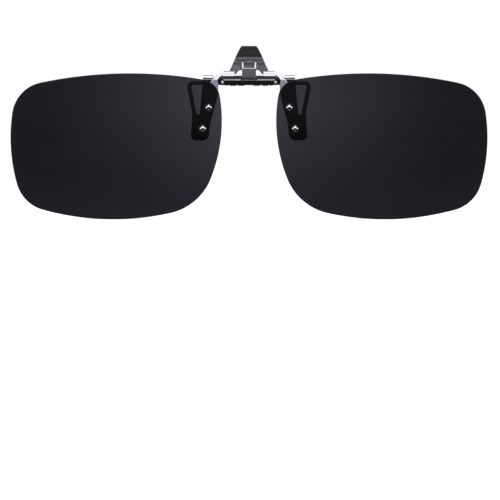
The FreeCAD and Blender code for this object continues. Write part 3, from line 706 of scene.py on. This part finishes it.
def sleeve(name, node, side_sign, place, body, material):
    """A moulded sleeve: open lip, round nose, ribs on its grip face, a parting line at its sides."""
    half_x, half_y = place["half"]
    hole_x, hole_y = place["hole"]
    bm = bmesh.new()
    rings = [
        sleeve_ring(bm, place, hole_x + wider, hole_y + wider, PAD_HIGH - depth, power=HOLE_SQUARE)
        for wider, depth in HOLE_RINGS
    ]
    rings.append(sleeve_ring(bm, place, half_x * LIP_TOP[0], half_y * LIP_TOP[1], PAD_HIGH))
    z = PAD_HIGH - SLEEVE_STEP
    while z > PAD_LOW + NOSE_GAP:
        width = sleeve_width(z, half_x)
        low = max(0.0, (PAD_LOW + half_x - z) / half_x)
        depth = half_y * math.sqrt(1 - NOSE_THIN * low ** NOSE_POWER)
        rings.append(sleeve_ring(bm, place, width, depth, z, rib_dip(z)))
        z -= SLEEVE_STEP
    tip = sleeve_width(PAD_LOW + TIP_WIDTH_HEIGHT, half_x)
    rings.append(sleeve_ring(bm, place, tip, half_y * TIP_THICK, PAD_LOW + TIP_HEIGHT))
    bridge_rings(bm, rings)
    for ring in (rings[0], rings[-1]):
        face = bm.faces.new(ring)
        face.smooth = True
    bmesh.ops.recalc_face_normals(bm, faces=bm.faces)
    turn = Matrix.Rotation(-math.radians(place["lean"]), 4, "Y")
    shift = Matrix.Translation(Vector((place["x"], place["y"], 0.0)) * MM)
    bmesh.ops.transform(bm, matrix=shift @ turn, verts=bm.verts)
    if side_sign < 0:
        bmesh.ops.transform(bm, matrix=Matrix.Diagonal((-1.0, 1.0, 1.0, 1.0)), verts=bm.verts)
        bmesh.ops.reverse_faces(bm, faces=bm.faces)
    piece = link_mesh(name, bm, [material], body)
    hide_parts(node)


# ------------------------------------------------------------------ springs

def tube(bm, path, radius):
    """A round wire along a path, with rounded ends."""
    tangents = []
    for i in range(len(path)):
        ahead = path[min(i + 1, len(path) - 1)]
        behind = path[max(i - 1, 0)]
        tangents.append((ahead - behind).normalized())
    across = tangents[0].orthogonal().normalized()
    rings = []

    def ring(centre, tangent, size):
        up = tangent.cross(across).normalized()
        verts = []
        for k in range(TUBE_SIDES):
            a = 2 * math.pi * k / TUBE_SIDES
            verts.append(bm.verts.new(centre + (across * math.cos(a) + up * math.sin(a)) * size))
        return verts

    for out, share in TUBE_END:
        rings.append(ring(path[0] - tangents[0] * radius * out, tangents[0], radius * share))
    for centre, tangent in zip(path, tangents):
        across = (across - tangent * across.dot(tangent)).normalized()
        rings.append(ring(centre, tangent, radius))
    for out, share in reversed(TUBE_END):
        rings.append(ring(path[-1] + tangents[-1] * radius * out, tangents[-1], radius * share))
    bridge_rings(bm, rings)
    for end in (rings[0], rings[-1]):
        bm.faces.new(end)
    bmesh.ops.recalc_face_normals(bm, faces=bm.faces)


def smooth_path(points, steps):
    """Points on a Catmull-Rom curve through the given ones."""
    ends = [points[0] * 2 - points[1], *points, points[-1] * 2 - points[-2]]
    result = []
    for a, b, c, d in zip(ends, ends[1:], ends[2:], ends[3:]):
        for k in range(steps):
            t = k / steps
            bend = 2 * a - 5 * b + 4 * c - d
            twist = 3 * b - a - 3 * c + d
            result.append(0.5 * (2 * b + (c - a) * t + bend * t ** 2 + twist * t ** 3))
    result.append(points[-1])
    return result


def spring_piece(side, sign, material):
    """A close-wound torsion spring: one leg lies on the base plate, the other on the lever."""
    axis = next(joint for joint in frame["joints"] if joint["child"] == JAW)
    _, axis_y, axis_z = [value / MM for value in axis["pos_m"]]
    x_rear = SPRING_X[0] + SPRING_WIRE_R
    x_front = SPRING_X[1] - SPRING_WIRE_R

    def at(x, y, z):
        return Vector((sign * x, axis_y + y, axis_z + z)) * MM

    steps = int(SPRING_TURNS * COIL_STEPS)
    coil = []
    for k in range(1, steps):
        share = k / steps
        a = math.pi + share * SPRING_TURNS * 2 * math.pi
        x = x_front + share * (x_rear - x_front)
        coil.append(at(x, SPRING_COIL_R * math.cos(a), SPRING_COIL_R * math.sin(a)))
    front_leg = [at(x_front + x, y, z) for x, y, z in FRONT_LEG]
    rear_leg = [at(x_rear + x, y, z) for x, y, z in REAR_LEG]
    path = smooth_path(front_leg, LEG_STEPS)[:-1] + coil + smooth_path(rear_leg, LEG_STEPS)[1:]
    bm = bmesh.new()
    tube(bm, path, SPRING_WIRE_R * MM)
    piece = link_mesh("spring_coil_" + side, bm, [material])
    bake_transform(piece)
    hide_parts("torsion_spring_" + side)


# ------------------------------------------------------------------ studio

def area_light(name, place, target, size, power):
    data = bpy.data.lights.new(name, "AREA")
    data.shape = "RECTANGLE"
    data.size, data.size_y = size
    data.energy = power
    light = bpy.data.objects.new(name, data)
    bpy.context.scene.collection.objects.link(light)
    light.location = place
    light.rotation_mode = "QUATERNION"
    light.rotation_quaternion = (Vector(target) - Vector(place)).to_track_quat("-Z", "Y")
    light.visible_camera = False
    return light


def direction(azimuth, elevation):
    """Unit vector from the object: azimuth 0 is the front, positive towards +X; degrees."""
    a, e = math.radians(azimuth), math.radians(elevation)
    return Vector((math.sin(a) * math.cos(e), -math.cos(a) * math.cos(e), math.sin(e)))


def rivet_light(name, start, end, thickness, radiance, receivers):
    """A flat panel between two directions that shines on the lens rivets alone."""
    a, b = direction(*start) * GLINT_DISTANCE, direction(*end) * GLINT_DISTANCE
    place = (a + b) / 2
    along = (b - a).normalized()
    away = place.normalized()
    across = away.cross(along).normalized()
    size = ((b - a).length, thickness)
    light = area_light(name, place, MIDDLE, size, radiance * math.pi * size[0] * size[1])
    light.rotation_quaternion = Matrix((along, across, along.cross(across))).transposed().to_quaternion()
    light.light_linking.receiver_collection = receivers


def studio_lights():
    """One broad light overhead, and small panels in front that draw a roof-shaped glint on each rivet."""
    area_light("overhead", **OVERHEAD)
    receivers = bpy.data.collections.new("rivet_glints")
    for side, _ in SIDES:
        receivers.objects.link(bpy.data.objects["lens_rivets_" + side + "_piece"])
    for glint in GLINTS:
        rivet_light(*glint, receivers)


def studio_world():
    """White for the eye; for reflections bright in front, dark from the sides back, grey straight behind."""
    world = bpy.data.worlds.new("studio")
    bpy.context.scene.world = world
    t = Tree(world)
    where = t.add("ShaderNodeSeparateXYZ", {0: t.add("ShaderNodeTexCoord").outputs["Generated"]})
    _, y, z = where.outputs
    tilted = t.math("ADD", y, t.spread(z, 0.12, -0.28, -0.35, 0.35))
    front = t.spread(tilted, 0.72, 0.0, -0.12, 0.12)
    core = t.spread(y, 0.30, 0.0, -0.98, -0.80)
    back = t.spread(y, 0.0, 0.45, 0.82, 0.95)
    level = t.math("ADD", t.math("ADD", front, core), t.math("ADD", back, 0.06))
    sky = t.colours(t.spread(z, 0.0, 1.0, -0.5, 0.5), (0.3, (0.86, 0.86, 1.0)), (1.0, (1.0, 1.0, 1.0)))
    seen = t.add("ShaderNodeBackground", {"Color": (1.0, 1.0, 1.0, 1.0), "Strength": 1.0}).outputs[0]
    reflected = t.add("ShaderNodeBackground", {"Color": sky, "Strength": level}).outputs[0]
    eye = t.add("ShaderNodeLightPath").outputs["Is Camera Ray"]
    t.finish(t.add("ShaderNodeMixShader", {0: eye, 1: reflected, 2: seen}).outputs[0], world=True)


def studio_floor():
    bm = bmesh.new()
    level = CAD_BOX[0].z - FLOOR_GAP
    for x, y in ((-1, -1), (1, -1), (1, 1), (-1, 1)):
        bm.verts.new((x * FLOOR_REACH, y * FLOOR_REACH, level))
    bm.faces.new(bm.verts)
    mesh = bpy.data.meshes.new("studio_floor")
    bm.to_mesh(mesh)
    bm.free()
    mesh.materials.append(studio_white())
    floor = bpy.data.objects.new("studio_floor", mesh)
    bpy.context.scene.collection.objects.link(floor)
    floor.visible_glossy = False


def studio_camera():
    data = bpy.data.cameras.new("camera")
    data.lens = CAMERA_LENS
    data.sensor_width = CAMERA_SENSOR
    data.clip_start, data.clip_end = CAMERA_CLIP
    camera = bpy.data.objects.new("camera", data)
    bpy.context.scene.collection.objects.link(camera)
    place = Vector((CAMERA_X, -CAMERA_DISTANCE, CAMERA_Z))
    aim = Vector((CAMERA_X, 0.0, CAMERA_Z - FRAME_DROP))
    camera.location = place
    camera.rotation_mode = "QUATERNION"
    camera.rotation_quaternion = (aim - place).to_track_quat("-Z", "Y")
    bpy.context.scene.camera = camera


# ------------------------------------------------------------------ assembly

def dress(looks):
    """The pieces shown from their CAD mesh get their finish; all but the rear wires get broken edges."""
    single = (
        ("base_plate", BASE, "black_enamel", "black_enamel", 0.07),
        ("hinge_barrels", BASE, "polished_steel", "polished_steel", 0.11),
        ("bar_cover", BASE, "black_enamel", "black_enamel", 0.08),
        ("front_tab", BASE, "tab_steel", "gunmetal", 0.07),
        ("friction_leaf", BASE, "spring_steel", "spring_steel", 0.03),
        ("cover_rivets", BASE, "spring_steel", "spring_steel", 0.03),
        ("jaw_pin", BASE, "spring_steel", "spring_steel", 0.04),
        ("release_lever", JAW, "lever_steel_painted_lighter", "gunmetal", 0.06),
        ("lever_cap", JAW, "satin_black", "satin_black", 0.08),
        ("bridge_rod", FLIP, "satin_steel", "polished_steel", 0.03),
    )
    paired = (
        ("lens_arm_", FLIP, "satin_steel", "polished_steel", 0.03),
        ("lens_rivets_", FLIP, "black_rivet", "black_rivet", 0.04),
        ("lens_washers_", FLIP, "clear_washer", "clear_washer", 0.04),
    )
    for node, body, look, slot, edge in single:
        finished(node, body, looks[look], edge)
    for side, _ in SIDES:
        for stem, body, look, slot, edge in paired:
            finished(stem + side, body, looks[look], edge)
        NODES["rear_claw_" + side].data.materials[0] = looks["black_wire"]


def build():
    looks = {
        "smoke_lens": smoke_lens(),
        "lens_rim": lens_rim(),
        "polished_steel": polished_steel(),
        "satin_steel": satin_steel(),
        "spring_steel": spring_steel(),
        "tab_steel": gunmetal("tab_steel", 0.100),
        # painted light: the lever's copy of the gunmetal is lighter than the tab's, standing in for the light
        # its backward lean catches
        "lever_steel_painted_lighter": gunmetal("lever_steel_painted_lighter", 0.130),
        "black_enamel": black_enamel(),
        "black_rivet": black_rivet(),
        "satin_black": satin_black(),
        "black_wire": black_wire(),
        "rubber": rubber(),
        "clear_washer": clear_washer(),
    }
    dress(looks)
    for side, sign in SIDES:
        lens_piece(side, sign, looks["smoke_lens"], looks["lens_rim"])
        sleeve("front_sleeve_" + side, "front_pad_" + side, sign, FRONT_PAD, BASE, looks["rubber"])
        sleeve("rear_sleeve_" + side, "rear_pad_" + side, sign, REAR_PAD, JAW, looks["rubber"])
        spring_piece(side, sign, looks["spring_steel"])
    studio_floor()
    studio_world()
    studio_lights()
    studio_camera()
    bpy.context.scene.view_settings.view_transform = "Standard"


def write_sizes():
    bpy.context.view_layer.update()


build()
write_sizes()
